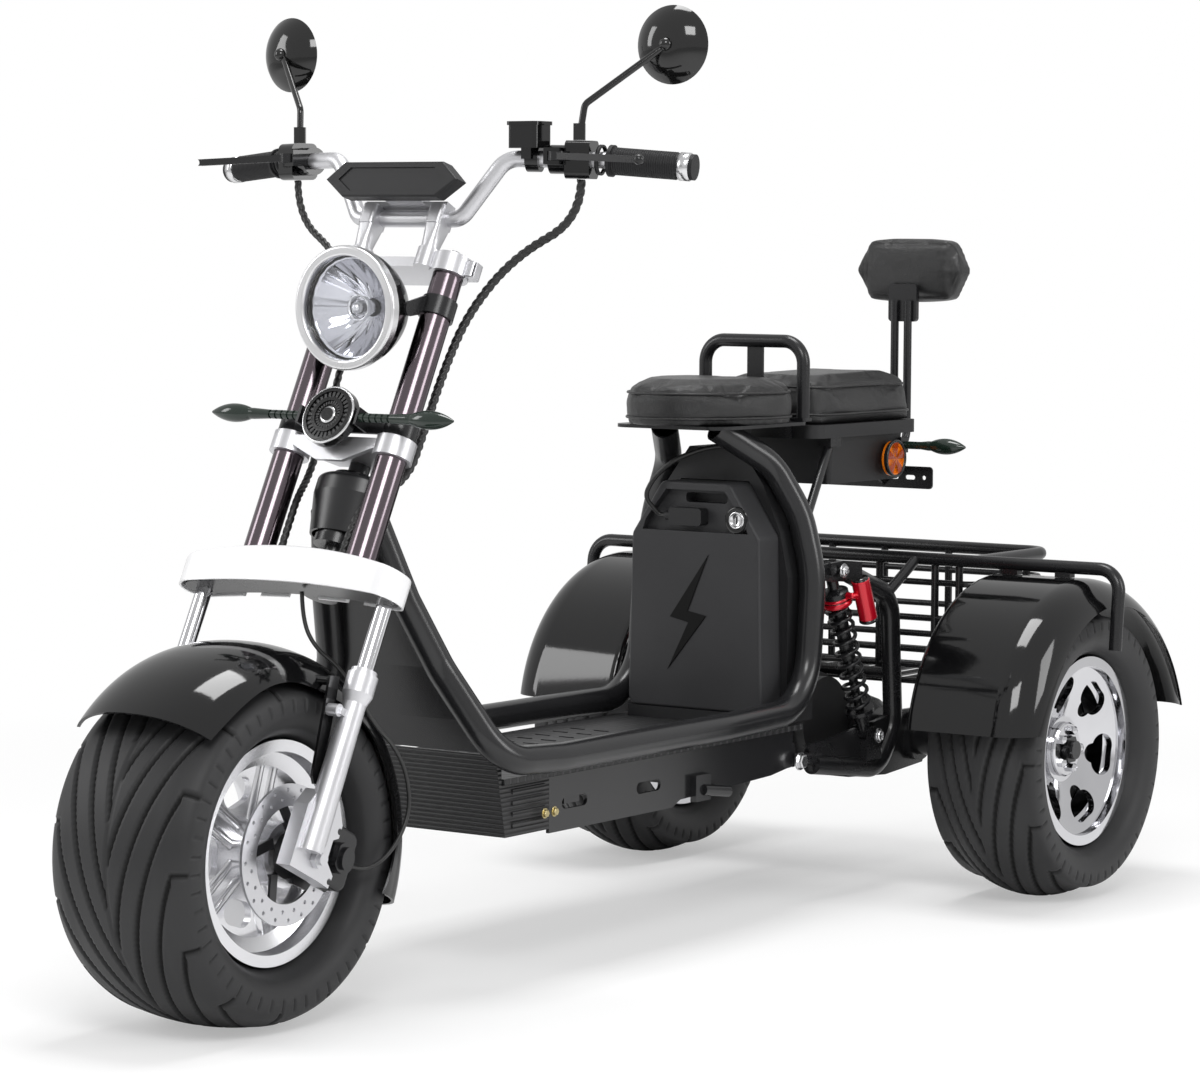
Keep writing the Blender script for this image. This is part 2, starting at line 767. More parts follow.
@dataclass
class WheelDress:
    """Nuts, caps and liners of the rear wheels."""

    lug_ring: float = 0.030
    lugs: int = 5
    lug_lift: float = 0.005
    cap_out: float = 0.0325
    liner_in: float = 0.050

    def liner(self, shop: Workshop, side: int) -> None:
        """Builds the dark liner behind a rear rim's windows.

        Args:
            shop: Makes and places the piece.
            side: 1 for left, -1 for right.
        """
        middle = side * TRACK_HALF
        frame = axis_frame(Vector((middle - side * self.liner_in, REAR_Y, TYRE_R)), Vector((side, 0, 0)))
        barrel = [(0.0, 0.1055), (0.062, 0.1055), (0.062, 0.1075), (-0.002, 0.1075)]
        back = [(-0.002, 0.046), (0.0, 0.046), (0.0, 0.1055)]
        piece = shop.mesh(f"wheel_liner_{SIDE_NAMES[side]}", *turned(barrel + back, 96, frame, capped=False))
        shop.settle(piece, SIDE_WHEELS[side].value, "wheel_shade")

    def hub_cap(self, shop: Workshop, side: int) -> None:
        """Builds a chrome hub cap with lug nuts round it.

        Args:
            shop: Makes and places the piece.
            side: 1 for left, -1 for right.
        """
        face = side * (TRACK_HALF + self.cap_out)
        out = Vector((side, 0, 0))
        ring = [(0.0, 0.0415), (0.004, 0.0415), (0.006, 0.039), (0.006, 0.024), (0.0, 0.023)]
        nut = [(0.0, 0.0072), (0.008, 0.0072), (0.0105, 0.005), (0.0115, 0.0)]
        shapes = [turned(ring, 64, axis_frame(Vector((face, REAR_Y, TYRE_R)), out), capped=False)]
        for lug in range(self.lugs):
            turn = FULL_TURN * lug / self.lugs
            y, z = REAR_Y + self.lug_ring * math.cos(turn), TYRE_R + self.lug_ring * math.sin(turn)
            spot = Vector((face + side * self.lug_lift, y, z))
            shapes.append(turned(nut, 6, axis_frame(spot, out), capped=False))
        piece = shop.mesh(f"hub_cap_{SIDE_NAMES[side]}", *joined(shapes), smooth=False)
        shop.settle(piece, SIDE_WHEELS[side].value, "chrome_rim")

    def build(self, shop: Workshop) -> None:
        """Builds both rear wheels' liners and caps.

        Args:
            shop: Makes and places the pieces.
        """
        for side in SIDES:
            self.liner(shop, side)
            self.hub_cap(shop, side)


# ---------------------------------------------------------------- padded seats
def points_of(piece: bpy.types.Object) -> np.ndarray:
    """Reads the vertices of a mesh.

    Args:
        piece: The object.

    Returns:
        One row for each vertex.
    """
    flat = np.zeros(len(piece.data.vertices) * 3)
    piece.data.vertices.foreach_get("co", flat)
    return flat.reshape(-1, 3)


def move_points(piece: bpy.types.Object, rows: np.ndarray) -> None:
    """Gives the vertices of a mesh new places."""
    piece.data.vertices.foreach_set("co", rows.ravel())
    piece.data.update()


class Stitch(Enum):
    """How a seam runs over a cushion."""

    BELT = "round the cushion at a level, with a welt"
    PANEL = "round the middle of an upright face"


@dataclass(frozen=True)
class Seam:
    """One sewn channel: its kind, its place, and its width and depth."""

    kind: Stitch
    level: float
    width: float
    depth: float


@dataclass
class Cushion:
    """A padded piece blown up from its CAD solid, with welts along its seams."""

    node: str
    fill: float
    seams: tuple[Seam, ...]
    upright: bool = False
    body: str = "frame"
    inset: float = 0.006
    cap: float = 0.007
    voxel: float = 0.005
    flat_below: float = 0.004
    pressure: float = 4.0
    stretch_stiffness: float = 12
    bending_stiffness: float = 0.6
    frames: int = 20
    welt_r: float = 0.0019
    welt_sunk: float = 0.0008
    welt_stops: int = 72
    welt_band: float = 0.006
    welt_window: float = 0.06

    @staticmethod
    def apply(piece: bpy.types.Object) -> None:
        """Applies every modifier to the mesh.

        Args:
            piece: The object.
        """
        graph = bpy.context.evaluated_depsgraph_get()
        graph.update()
        made = bpy.data.meshes.new_from_object(piece.evaluated_get(graph))
        piece.modifiers.clear()
        piece.data = made

    def simulate(self, piece: bpy.types.Object, fixed: np.ndarray) -> None:
        """Runs the cloth under pressure and applies its result.

        Args:
            piece: The cushion.
            fixed: Which vertices are held.
        """
        held = piece.vertex_groups.new(name="held")
        held.add([int(k) for k in np.nonzero(fixed)[0]], 1.0, "REPLACE")
        cloth = piece.modifiers.new("air", "CLOTH").settings
        cloth.use_pressure = True
        cloth.uniform_pressure_force = self.pressure
        cloth.effector_weights.gravity = 0
        cloth.vertex_group_mass = "held"
        cloth.quality = 4
        cloth.tension_stiffness = self.stretch_stiffness
        cloth.compression_stiffness = self.stretch_stiffness
        cloth.bending_stiffness = self.bending_stiffness
        for frame in range(1, self.frames + 1):
            bpy.context.scene.frame_set(frame)
        self.apply(piece)
        bpy.context.scene.frame_set(1)

    def inflate(self, piece: bpy.types.Object, low: np.ndarray, high: np.ndarray) -> None:
        """Swells the cushion, holding its far side flat.

        Args:
            piece: A copy of the CAD solid.
            low: Low corner of the solid's box.
            high: Its high corner.
        """
        remesh = piece.modifiers.new("even", "REMESH")
        remesh.mode = "VOXEL"
        remesh.voxel_size = self.voxel
        self.apply(piece)
        start = points_of(piece)
        middle = (low + high) / 2
        shrunk = middle + (start - middle) * (1 - 2 * self.inset / (high - low))
        axis, rest, bounded = (1, high[1], np.minimum) if self.upright else (2, low[2], np.maximum)
        fixed = np.abs(start[:, axis] - rest) < self.flat_below
        shrunk[fixed, axis] = start[fixed, axis]
        move_points(piece, shrunk)
        self.simulate(piece, fixed)
        move = points_of(piece) - shrunk
        far = np.linalg.norm(move, axis=1)[:, None]
        after = shrunk + move * np.minimum(1, self.cap / np.maximum(far, 1e-9))
        after[:, axis] = bounded(after[:, axis], rest)
        move_points(piece, after)

    def shape(self, piece: bpy.types.Object, low: np.ndarray, high: np.ndarray) -> None:
        """Pulls the swollen mesh in along its sewn channels.

        Args:
            piece: The cushion.
            low: Low corner of the solid's box.
            high: Its high corner.
        """
        co = points_of(piece)
        middle, half = (low + high) / 2, (high - low) / 2
        for seam in self.seams:
            if seam.kind is Stitch.BELT:
                near = np.exp(-(((co[:, 2] - seam.level) / seam.width) ** 2))[:, None]
                away = co - middle
                away[:, 2] = 0
                away /= np.maximum(np.linalg.norm(away, axis=1)[:, None], 1e-9)
                co -= away * near * seam.depth
            else:
                wide = np.abs((co[:, 0] - middle[0]) / half[0])
                tall = np.abs((co[:, 2] - middle[2]) / half[2]) * 1.02
                share = np.maximum(wide, tall)
                face = co[:, 1] < middle[1]
                co[:, 1] += np.exp(-(((share - seam.level) / seam.width) ** 2)) * face * seam.depth
        move_points(piece, co)

    def welt(self, shop: Workshop, piece: bpy.types.Object, level: float, middle: np.ndarray) -> None:
        """Adds a raised welt round the cushion.

        Args:
            shop: Makes and places the welt.
            piece: The cushion.
            level: Height of the welt.
            middle: Middle of the cushion, across and back.
        """
        co = points_of(piece)
        away = co[np.abs(co[:, 2] - level) < self.welt_band][:, :2] - middle
        turn = np.arctan2(away[:, 1], away[:, 0])
        length = np.linalg.norm(away, axis=1)
        line = []
        for k in range(self.welt_stops):
            want = -math.pi + (k + 0.5) * FULL_TURN / self.welt_stops
            close = np.abs((turn - want + math.pi) % FULL_TURN - math.pi) < self.welt_window
            if close.any():
                reach = length[close].max() - self.welt_sunk
                spot = middle + reach * np.array([math.cos(want), math.sin(want)])
                line.append(Vector((*spot, level)))
        welt = shop.tube(f"{self.node}_welt_{int(abs(level) * MM_PER_M)}", line, self.welt_r, closed=True)
        shop.settle(welt, self.body, "leather")

    def build(self, shop: Workshop, frame: dict) -> None:
        """Makes the cushion and its welts.

        Args:
            shop: Makes and places the pieces.
        """
        low, high = (np.array(corner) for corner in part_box(self.node))
        piece = linked(self.node + "_cushion", frame["nodes"][self.node].data.copy())
        self.inflate(piece, low, high)
        self.shape(piece, low, high)
        smooth = piece.modifiers.new("soften", "SUBSURF")
        smooth.levels = smooth.render_levels = 1
        self.apply(piece)
        piece.data.shade_smooth()
        for seam in self.seams:
            if seam.kind is Stitch.BELT:
                self.welt(shop, piece, seam.level, ((low + high) / 2)[:2])
        shop.settle(piece, self.body, "leather", (self.node,))


# ---------------------------------------------------------------- springs and looms
def strand(
    path: np.ndarray, radius: float, sides: int, ridge: float = 0, pitch: float = 1, starts: int = 0
) -> tuple[list, list]:
    """A round cord along a path, optionally twisted from several strands.

    Args:
        path: The centre line.
        radius: Outer radius.
        sides: Points round the cord.
        ridge: Share of the radius that the twist cuts in.
        pitch: Length of one full twist.
        starts: Number of strands.

    Returns:
        Points and faces.
    """
    ways = np.gradient(path, axis=0)
    ways /= np.linalg.norm(ways, axis=1)[:, None]
    run = lengths_along(path)
    up = np.cross(ways[0], [0.3, 0.5, 0.81])
    points, faces = [], []
    for k, (spot, way) in enumerate(zip(path, ways)):
        up = up - way * np.dot(up, way)
        up /= np.linalg.norm(up)
        other = np.cross(way, up)
        for side in range(sides):
            angle = FULL_TURN * side / sides
            twist = angle - FULL_TURN * run[k] / pitch
            wave = abs(math.cos(starts * twist / 2)) if starts else 1
            size = radius * (1 - ridge + ridge * wave)
            points.append(spot + size * (math.cos(angle) * up + math.sin(angle) * other))
        if k:
            a, b = (k - 1) * sides, k * sides
            faces += [(a + n, a + (n + 1) % sides, b + (n + 1) % sides, b + n) for n in range(sides)]
    faces.append(tuple(reversed(range(sides))))
    faces.append(tuple(range(len(points) - sides, len(points))))
    return points, faces


@dataclass
class Shocks:
    """Coil springs, red collars and reservoir caps of the two rear shocks."""

    out_mm: float = 130
    turns: float = 9.5
    coil: float = 0.0175
    wire: float = 0.0031
    start: float = 0.0590
    end: float = 0.2350
    ends_closed: float = 0.12
    steps: int = 340
    tank: tuple = (0.167, REAR_Y - 0.213, 0.459)

    def line(self, side: int) -> tuple[Vector, Vector]:
        """Head of a shock and its direction downwards."""
        head = rear(side * self.out_mm, *SHOCK_HEAD_MM)
        return head, (rear(side * self.out_mm, *SHOCK_FOOT_MM) - head).normalized()

    def spring(self, head: Vector, down: Vector) -> tuple[list, list]:
        """Winds one coil spring, with its turns a little closer at both ends.

        Args:
            head: Head of the shock.
            down: Direction of the shock.

        Returns:
            Points and faces.
        """
        across = Vector((1, 0, 0))
        other = down.cross(across)
        path = []
        for k in range(self.steps):
            share = k / (self.steps - 1)
            eased = 0.5 * (1 - math.cos(math.pi * share))
            tight = eased * self.ends_closed + share * (1 - self.ends_closed)
            along = self.start + self.wire + (self.end - self.start - 2 * self.wire) * tight
            turn = FULL_TURN * self.turns * share
            out = across * math.cos(turn) + other * math.sin(turn)
            path.append(np.array(head + down * along + out * self.coil))
        return strand(np.array(path), self.wire, 10)

    def build(self, shop: Workshop) -> None:
        """Builds both springs and their fittings.

        Args:
            shop: Makes and places the pieces.
        """
        ring = [(0.044, 0.0212), (0.0455, 0.0232), (0.0475, 0.0232), (0.049, 0.0212)]
        ring += [(0.0505, 0.0232), (0.0525, 0.0238), (0.0575, 0.0238), (0.0584, 0.0222)]
        coils, collars, caps = [], [], []
        for side in SIDES:
            head, down = self.line(side)
            coils.append(self.spring(head, down))
            collars.append(turned(ring, 48, axis_frame(head, down)))
            tank = Vector((side * self.tank[0], self.tank[1], self.tank[2]))
            for shift, size in ((-0.0352, 0.0128), (0.0312, 0.0145)):
                lid = [(0, size), (0.0045, size), (0.006, size - 0.0015)]
                caps.append(turned(lid, 40, axis_frame(tank + down * shift, down)))
        springs = shop.mesh("shock_coils", *joined(coils))
        shop.settle(springs, "frame", "black_steel", ("shock_springs",))
        shop.settle(shop.mesh("shock_collars", *joined(collars)), "frame", "red_anodised")
        shop.settle(shop.mesh("reservoir_caps", *joined(caps)), "frame", "mirror_black")


@dataclass
class Looms:
    """The twisted control looms and the brake hose of the steering."""

    loom_r: float = 0.0062
    right_thinner: float = 0.001
    twist: float = 0.034
    strands: int = 3
    groove: float = 0.3
    hose_r: float = 0.0028

    @staticmethod
    def route(side: int) -> list:
        """Lists the centre points of one loom, from its control to the fork bridge.

        Args:
            side: 1 for left, -1 for right.

        Returns:
            The points.
        """
        bend = Vector((side * BAR_BEND_MM[0], *BAR_BEND_MM[1:]))
        grip = Vector((side * GRIP_START_MM[0], *GRIP_START_MM[1:]))
        start = (BAR_MM + bend + (grip - bend) * 0.79 + Vector((0, 0, -25.6))) / MM_PER_M
        stops = (
            (150, -2, 318), (98, 2, 236), (86, 3, 150), (84, 3, 60), (82, 2, -8), (59, -34, -56),
            (52, -42, -96), (52, -42, -143.5),
        )
        return [start, start + Vector((0, 0, -0.052))] + [steer(side * x, back, up) for x, back, up in stops]

    @staticmethod
    def hose_route() -> list:
        """Lists the centre points of the front brake hose.

        Returns:
            The points.
        """
        stops = (
            (18, -58, -196), (22, -44, -232), (44, -28, -262), (84, -20, -281), (124, -14, -318),
            (142, 14, -345), (140, 62, -352), (134, 112, -372), (136, 138, -412), (136, 134, -456),
            (130, 120, -492), (116, 102, -512), (116, 75, -514),
        )
        return [steer(*stop) for stop in stops]

    @staticmethod
    def follow(shop: Workshop, points: list, step: float) -> np.ndarray:
        """Reads even points from the smooth curve that the centre points guide.

        Args:
            shop: Makes the curve.
            points: The centre points.
            step: Distance between the points read.

        Returns:
            The points read.
        """
        guide = shop.tube("guide", points, 0.0)
        data = bpy.data.meshes.new_from_object(guide)
        line = np.array([tuple(v.co) for v in data.vertices])
        bpy.data.objects.remove(guide)
        return evenly(line, max(8, int(lengths_along(line)[-1] / step)))

    def build(self, shop: Workshop) -> None:
        """Builds both looms and the hose.

        Args:
            shop: Makes and places the piece.
        """
        shapes = []
        for side, radius in ((1, self.loom_r), (-1, self.loom_r - self.right_thinner)):
            path = self.follow(shop, self.route(side), 0.0016)
            shapes.append(strand(path, radius, 14, self.groove, self.twist, self.strands))
        shapes.append(strand(self.follow(shop, self.hose_route(), 0.003), self.hose_r, 12))
        piece = shop.mesh("control_looms", *joined(shapes))
        shop.settle(piece, "steering", "cable_rubber", ("control_cables",))


# ---------------------------------------------------------------- lamp, horn, bars
BOX_FACES = [(3, 2, 1, 0), (4, 5, 6, 7), (0, 1, 5, 4), (1, 2, 6, 5), (2, 3, 7, 6), (3, 0, 4, 7)]
FORWARD = Vector((0, -1, 0))


@dataclass
class Lamp:
    """Reflector and bulb of the headlight."""

    face_mm: tuple = (0, -115, 183)
    ring_r: float = 0.0676
    depth: float = 0.050
    sides: int = 96
    rings: int = 16
    facets: int = 24
    facet_depth: float = 0.0005

    def build(self, shop: Workshop) -> None:
        """Builds the bright dish and the bulb in it.

        Args:
            shop: Makes and places the pieces.
        """
        frame = axis_frame(steer(*self.face_mm), FORWARD)
        profile = []
        for k in range(self.rings + 1):
            share = k / self.rings
            profile.append((-0.002 - self.depth * (1 - share**2), max(0.0105, self.ring_r * share)))
        profile.append((-0.0035, self.ring_r - 0.001))
        points, faces = turned(profile, self.sides, frame, capped=False)
        for n, (x, y, z) in enumerate([tuple(p) for p in points]):
            turn = (n % self.sides) / self.sides * FULL_TURN
            growing = (n // self.sides) / (self.rings + 1)
            points[n] = Vector((x, y + self.facet_depth * math.cos(turn * self.facets) * growing, z))
        shop.settle(shop.mesh("lamp_reflector", points, faces), "steering", "reflector")
        bulb = [(-0.053, 0.010), (-0.030, 0.010), (-0.029, 0.0075), (-0.022, 0.0088)]
        bulb += [(-0.014, 0.0075), (-0.010, 0.004), (-0.009, 0.001)]
        hood = [(-0.0285, 0.0155), (-0.0185, 0.0175), (-0.0180, 0.0160), (-0.0290, 0.0145), (-0.0285, 0.0155)]
        shapes = [turned(bulb, 40, frame), turned(hood, 48, frame, capped=False)]
        shop.settle(shop.mesh("lamp_bulb", *joined(shapes)), "steering", "lamp_ring")


@dataclass
class HornDress:
    """Bright rings and grille of the horn."""

    face_mm: tuple = (0, -92, 39)
    radius: float = 0.041
    bars: int = 28
    bar_half: float = 0.00115
    bar_flare: float = 1.7
    bar_start: float = 0.0150

    def build(self, shop: Workshop) -> None:
        """Builds two bright rings and the slotted grille between them.

        Args:
            shop: Makes and places the pieces.
        """
        frame = axis_frame(steer(*self.face_mm), -BACK_AXIS)
        r = self.radius
        rim = [(0.0002, r - 0.0042), (0.0016, r - 0.0036), (0.0022, r - 0.002)]
        rim += [(0.0014, r - 0.0006), (0.0002, r)]
        boss = [(0.0002, 0.0125), (0.002, 0.0118), (0.0027, 0.009)]
        boss += [(0.0020, 0.007), (0.0026, 0.0052), (0.0026, 0.001)]
        rings = [turned(rim, 72, frame, capped=False), turned(boss, 48, frame)]
        shop.settle(shop.mesh("horn_rings", *joined(rings)), "steering", "bright_bolt")
        inner, outer, narrow, wide = self.bar_start, r - 0.0062, self.bar_half, self.bar_half * self.bar_flare
        outline = ((inner, -narrow), (outer, -wide), (outer, wide), (inner, narrow))
        box = [Vector((x, y, z)) for z in (0.0002, 0.0014) for x, y in outline]
        bars = []
        for k in range(self.bars):
            turn = frame @ Matrix.Rotation(FULL_TURN * k / self.bars, 4, "Z")
            bars.append(([turn @ p for p in box], BOX_FACES))
        grille = shop.mesh("horn_grille", *joined(bars), smooth=False)
        shop.settle(grille, "steering", "black_steel")


@dataclass
class BarDress:
    """Grip ribs, bar ends and mirror glasses."""

    grip_r: float = 0.0170
    ribs: int = 30
    mirror_mm: tuple = (323, 153, 229)
    mirror_toe_in: float = math.radians(7)

    def ribbed(self, length: float) -> list:
        """Draws the section of a ribbed grip.

        Args:
            length: Length of the grip.

        Returns:
            Pairs of distance along the grip and radius.
        """
        low, high = self.grip_r + 0.0001, self.grip_r + 0.0012
        profile = [(0.010, self.grip_r - 0.0006)]
        for k in range(self.ribs):
            at = 0.012 + (length - 0.026) * k / self.ribs
            profile += [(at, low), (at + 0.0006, high), (at + 0.0020, high), (at + 0.0026, low)]
        return profile + [(length - 0.012, self.grip_r - 0.0006)]

    def build(self, shop: Workshop) -> None:
        """Builds both sides of the handlebar's fittings.

        Args:
            shop: Makes and places the pieces.
        """
        g = self.grip_r
        collar = [(-0.0035, g + 0.0006), (-0.003, g + 0.0032), (0.0015, g + 0.0032), (0.002, g + 0.0006)]
        glass = [(0.0003, 0.0478), (0.0010, 0.0472), (0.0013, 0.030), (0.0014, 0.001)]
        ribs, ends, glasses = [], [], []
        for side in SIDES:
            start = from_bar(side, GRIP_START_MM) / MM_PER_M
            end = from_bar(side, GRIP_END_MM) / MM_PER_M
            frame = axis_frame(start, (end - start).normalized())
            length = (end - start).length
            ribs.append(turned(self.ribbed(length), 48, frame, capped=False))
            ribs.append(turned(collar, 48, frame, capped=False))
            cap = [(length - 0.0105, g - 0.001), (length - 0.0100, g + 0.0016), (length + 0.0030, g + 0.0016)]
            cap += [(length + 0.0050, g - 0.0006), (length + 0.0062, g - 0.006), (length + 0.0064, 0.001)]
            ends.append(turned(cap, 48, frame))
            gaze = Vector((-side * math.sin(self.mirror_toe_in), math.cos(self.mirror_toe_in), 0))
            glasses.append(turned(glass, 72, axis_frame(from_bar(side, self.mirror_mm) / MM_PER_M, gaze)))
        shop.settle(shop.mesh("grip_ribs", *joined(ribs)), "steering", "grip_rubber")
        shop.settle(shop.mesh("bar_ends", *joined(ends)), "steering", "bright_bolt")
        shop.settle(shop.mesh("mirror_glasses", *joined(glasses)), "steering", "mirror_glass")


# ---------------------------------------------------------------- battery
@dataclass
class BatteryDress:
    """Bolt emblem and key lock of the upright battery box."""

    face_y: float = REAR_Y - 0.426
    emblem_lift: float = 0.0014
    emblem_bevel: float = 0.0009
    lock_x: float = 0.074
    lock_z: float = 0.586
    slot_half_width: float = 0.0011
    slot_half_height: float = 0.0052
    slot_half_depth: float = 0.0003

    def emblem(self, shop: Workshop) -> None:
        """Builds the raised lightning bolt, with bevelled edges.

        Args:
            shop: Places the piece.
        """
        outline = [(0.026, 0.534), (-0.043, 0.437), (-0.010, 0.430)]
        outline += [(-0.047, 0.357), (0.022, 0.441), (-0.011, 0.447)]
        data = bpy.data.meshes.new("bolt_emblem")
        mesh = bmesh.new()
        ring = [mesh.verts.new((x, self.face_y - 0.0002, z)) for x, z in outline]
        face = mesh.faces.new(ring)
        mesh.normal_update()
        if face.normal.y > 0:
            face.normal_flip()
        lifted = bmesh.ops.extrude_face_region(mesh, geom=[face])
        tops = [v for v in lifted["geom"] if isinstance(v, bmesh.types.BMVert)]
        bmesh.ops.translate(mesh, verts=tops, vec=(0, -self.emblem_lift, 0))
        bmesh.ops.recalc_face_normals(mesh, faces=mesh.faces)
        mesh.to_mesh(data)
        mesh.free()
        piece = linked("bolt_emblem", data)
        soften = piece.modifiers.new("edge", "BEVEL")
        soften.width = self.emblem_bevel
        soften.segments = 2
        shop.settle(piece, "frame", "emblem")

    def lock(self, shop: Workshop) -> None:
        """Builds the key lock's surround, its bright barrel and its slot.

        Args:
            shop: Makes and places the pieces.
        """
        frame = axis_frame(Vector((self.lock_x, self.face_y, self.lock_z)), FORWARD)
        collar = [(-0.0004, 0.0205), (0.0010, 0.0198), (0.0014, 0.0170), (0.0008, 0.0137)]
        surround = shop.mesh("lock_surround", *turned(collar, 56, frame, capped=False))
        shop.settle(surround, "frame", "gloss_black")
        barrel = [(-0.006, 0.0135), (0.0005, 0.0135), (0.0018, 0.0122), (0.0018, 0.0104)]
        barrel += [(0.0002, 0.0092), (-0.0004, 0.0088), (-0.0004, 0.001)]
        shop.settle(shop.mesh("key_lock", *turned(barrel, 56, frame)), "frame", "bright_bolt")
        w, h, d = self.slot_half_width, self.slot_half_height, self.slot_half_depth
        outline = ((-w, -h), (-w, h), (w, h), (w, -h))
        cut = [frame @ Vector((x, z, deep)) for deep in (-d, d) for x, z in outline]
        slot = shop.mesh("key_slot", cut, BOX_FACES, smooth=False)
        shop.settle(slot, "frame", "matte_black")

    def build(self, shop: Workshop) -> None:
        """Builds the emblem and the lock."""
        self.emblem(shop)
        self.lock(shop)


# ---------------------------------------------------------------- side reflectors
@dataclass
class SideLamps:
    """Rims and facets of the two round side reflectors."""

    wedges: int = 5
    inner_share: float = 0.45
    inner_lift: float = 0.0012
    outer_lift: float = 0.0004
    crease: float = 0.0006

    def star(self, face: Matrix, radius: float) -> list:
        """Builds the facets over one reflector.

        Args:
            face: Matrix of its face, with Z outwards.
            radius: Its radius.

        Returns:
            One shape of points and faces for each wedge.
        """
        rings = ((self.inner_lift, self.inner_share * radius), (self.outer_lift, radius - 0.0012))
        shapes = []
        for wedge in range(self.wedges):
            turns = [FULL_TURN * (wedge + part) / self.wedges for part in (0.0, 0.25, 0.5)]
            points = [face @ Vector((0, 0, self.inner_lift))]
            for lift, reach in rings:
                for t, raised in zip(turns, (0, self.crease, 0)):
                    points.append(face @ Vector((reach * math.cos(t), reach * math.sin(t), lift + raised)))
            shapes.append((points, [(0, 1, 2), (0, 2, 3), (1, 4, 5, 2), (2, 5, 6, 3)]))
        return shapes

    def build(self, shop: Workshop) -> None:
        """Builds a black rim and a faceted star over each reflector.

        Args:
            shop: Makes and places the pieces.
        """
        low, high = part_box("side_reflectors")
        middle = (low + high) / 2
        r = (high.z - low.z) / 2
        rim = [(-0.005, r + 0.0004), (0.0008, r + 0.0026), (0.0022, r + 0.0022)]
        rim += [(0.0022, r - 0.0012), (0.0, r - 0.0018)]
        rims, stars = [], []
        for side in SIDES:
            face = axis_frame(Vector((side * high.x, middle.y, middle.z)), Vector((side, 0, 0)))
            rims.append(turned(rim, 64, face, capped=False))
            stars += self.star(face, r)
        shop.settle(shop.mesh("reflector_rims", *joined(rims)), "frame", "black_steel")
        facets = shop.mesh("reflector_facets", *joined(stars), smooth=False)
        shop.settle(facets, "frame", "amber_deep")


# ---------------------------------------------------------------- fasteners
@dataclass(frozen=True)
class Screw:
    """One screw: where it sits, which way its head faces, its size and its shape."""

    spot: Vector
    way: Vector
    radius: float
    hexed: bool = True


@dataclass
class Fasteners:
    """Bolts, screws and washers on the frame and on the steering."""

    rail_mm: tuple = ((156, -1000, 228), (156, -1022, 228))
    rail_r: float = 0.0055
    pivot_mm: tuple = (156, -374.7, 229)
    pivot_r: float = 0.0105
    shock_out_mm: float = 154
    clamps_mm: tuple = ((86, -45, 294), (86, -45, -6))
    domed_r: float = 0.0085

    @staticmethod
    def head_of(screw: Screw) -> list:
        """Builds the washer and the domed or hexagonal head of a screw.

        Args:
            screw: The screw.

        Returns:
            Two shapes of points and faces.
        """
        frame = axis_frame(screw.spot, screw.way)
        r = screw.radius
        plate = [(-0.0005, r * 1.28), (r * 0.16, r * 1.28), (r * 0.2, r * 1.2), (r * 0.2, r * 0.5)]
        washer = turned(plate, 40, frame)
        if screw.hexed:
            hexagon = [(r * 0.18, r), (r * 0.72, r), (r * 0.86, r * 0.86), (r * 0.86, r * 0.1)]
            return [washer, turned(hexagon, 6, frame)]
        dome = [(r * 0.18, r * 0.98), (r * 0.5, r * 0.94), (r * 0.72, r * 0.8)]
        dome += [(r * 0.82, r * 0.5), (r * 0.5, r * 0.44), (r * 0.48, r * 0.05)]
        return [washer, turned(dome, 40, frame)]

    def on_frame(self) -> dict[str, list[Screw]]:
        """Lists the screws of the frame.

        Returns:
            The screws by finish.
        """
        bright, brass = [], []
        for side in SIDES:
            out = Vector((side, 0, 0))
            for x, back, z in self.rail_mm:
                brass.append(Screw(rear(side * x, back, z), out, self.rail_r))
            x, back, z = self.pivot_mm
            bright.append(Screw(rear(side * x, back, z), out, self.pivot_r))
            for shock_end in (SHOCK_FOOT_MM, SHOCK_HEAD_MM):
                spot = rear(side * self.shock_out_mm, *shock_end)
                bright.append(Screw(spot, out, self.domed_r, hexed=False))
        return {"bright_bolt": bright, "brass_bolt": brass}

    def on_steering(self) -> dict[str, list[Screw]]:
        """Lists the screws of the two fork clamps.

        Returns:
            The screws by finish.
        """
        spots = [steer(side * x, back, up) for side in SIDES for x, back, up in self.clamps_mm]
        return {"bright_bolt": [Screw(spot, UP_AXIS, self.domed_r, hexed=False) for spot in spots]}

    def build(self, shop: Workshop) -> None:
        """Builds one piece for each body and finish.

        Args:
            shop: Makes and places the pieces.
        """
        for body, groups in (("frame", self.on_frame()), ("steering", self.on_steering())):
            for finish, screws in groups.items():
                shapes = [shape for screw in screws for shape in self.head_of(screw)]
                piece = shop.mesh(f"{body}_{finish}s", *joined(shapes), smooth=False)
                shop.settle(piece, body, finish)


# ---------------------------------------------------------------- studio
WHITE = (1, 1, 1, 1)


